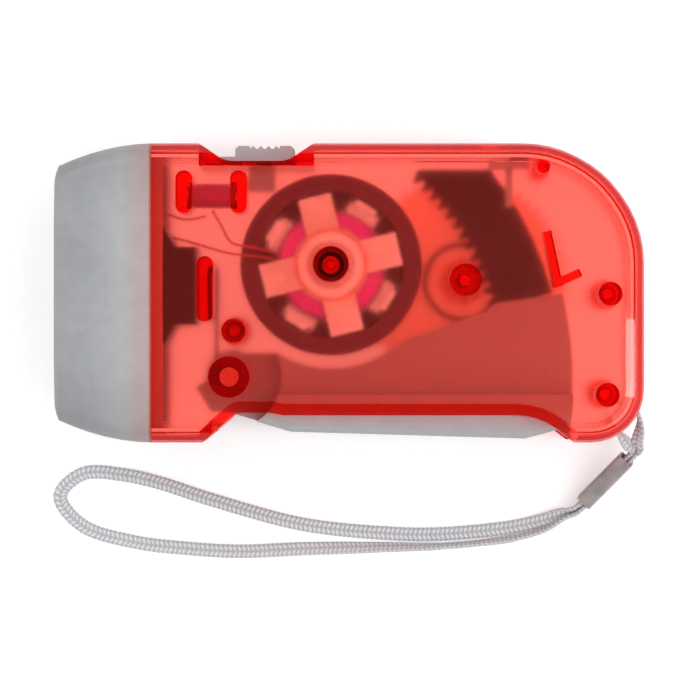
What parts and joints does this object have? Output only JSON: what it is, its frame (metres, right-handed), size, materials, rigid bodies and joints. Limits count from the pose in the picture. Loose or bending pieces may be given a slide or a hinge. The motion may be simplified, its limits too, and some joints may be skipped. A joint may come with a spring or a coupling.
{
  "type": "squeeze dynamo flashlight",
  "caption": "Flat squeeze-powered pocket flashlight: clear red housing over a lever, gear train and flywheel dynamo, grey nose with lamp window, slide switch, lock and wrist strap.",
  "frame": {"origin": "under the middle of the body, on the flat back face that it lies on", "axes": "+X from the lamp end to the tail, +Y from the lever to the switch, +Z from the back shell to the front shell"},
  "size_m": [0.1086, 0.0757, 0.033],
  "materials": {
    "red_clear": "clear, polished",
    "grey_plastic": "fine satin",
    "clear_plastic": "clear, polished",
    "bright_metal": "polished",
    "board_green": "satin lacquer",
    "black_plastic": "satin",
    "steel": "bright turned",
    "magnet_black": "dark satin",
    "white_plastic": "smooth",
    "brass": "turned",
    "winding": "lacquered fine wire",
    "violet_sleeve": "shrunk plastic sleeve",
    "braid": "woven cord"
  },
  "bodies": {
    "housing": {"front_shell": "red_clear", "back_shell": "red_clear", "head_bezel": "grey_plastic", "lens": "clear_plastic", "reflector": "bright_metal", "led_1": "clear_plastic", "led_2": "clear_plastic", "led_3": "clear_plastic", "led_board": "board_green", "led_holder": "black_plastic", "rectifier": "black_plastic", "switch_body": "grey_plastic", "lever_pivot_pin": "steel", "return_spring": "steel", "gear_axle": "steel", "rotor_bush": "brass", "stator_plate_front": "bright_metal", "stator_plate_back": "bright_metal", "coil_bobbin": "white_plastic", "coil": "winding", "capacitor": "violet_sleeve", "coil_lead_1": "winding", "coil_lead_2": "winding", "led_lead": "winding", "screw_1": "steel", "screw_2": "steel", "screw_3": "steel", "strap": "braid", "strap_ferrule": "bright_metal"},
    "lever": {"lever": "grey_plastic", "sector_gear": "black_plastic"},
    "drive_train": {"drive_gear": "white_plastic", "drive_pinion": "white_plastic", "ratchet_pawl": "white_plastic"},
    "rotor": {"flywheel": "magnet_black", "ring_magnet": "magnet_black", "rotor_pinion": "white_plastic", "rotor_shaft": "steel"},
    "switch_knob": {"switch_knob": "grey_plastic"},
    "lock_slide": {"lock_slide": "grey_plastic"}
  },
  "joints": [
    {"name": "lever_swing", "type": "hinge", "parent": "housing", "child": "lever", "pos_m": [-0.02135, -0.01508, 0.0137], "axis": [0, 0, -1], "range_deg": [0, 22], "deforming": ["return_spring"]},
    {"name": "gear_spin", "type": "hinge", "parent": "housing", "child": "drive_train", "pos_m": [0.02075, 0.00219, 0.0112], "axis": [0, 0, -1], "continuous": true},
    {"name": "rotor_spin", "type": "hinge", "parent": "housing", "child": "rotor", "pos_m": [-0.00324, 0.005, 0.0137], "axis": [0, 0, -1], "continuous": true},
    {"name": "switch_travel", "type": "slide", "parent": "housing", "child": "switch_knob", "axis": [-1, 0, 0], "range_m": [0, 0.0025]},
    {"name": "lock_travel", "type": "slide", "parent": "housing", "child": "lock_slide", "axis": [-1, 0, 0], "range_m": [0, 0.0024]}
  ],
  "couplings": [
    {"joint": "gear_spin", "follows": "lever_swing", "ratio": 14},
    {"joint": "rotor_spin", "follows": "lever_swing", "ratio": -50.4}
  ]
}
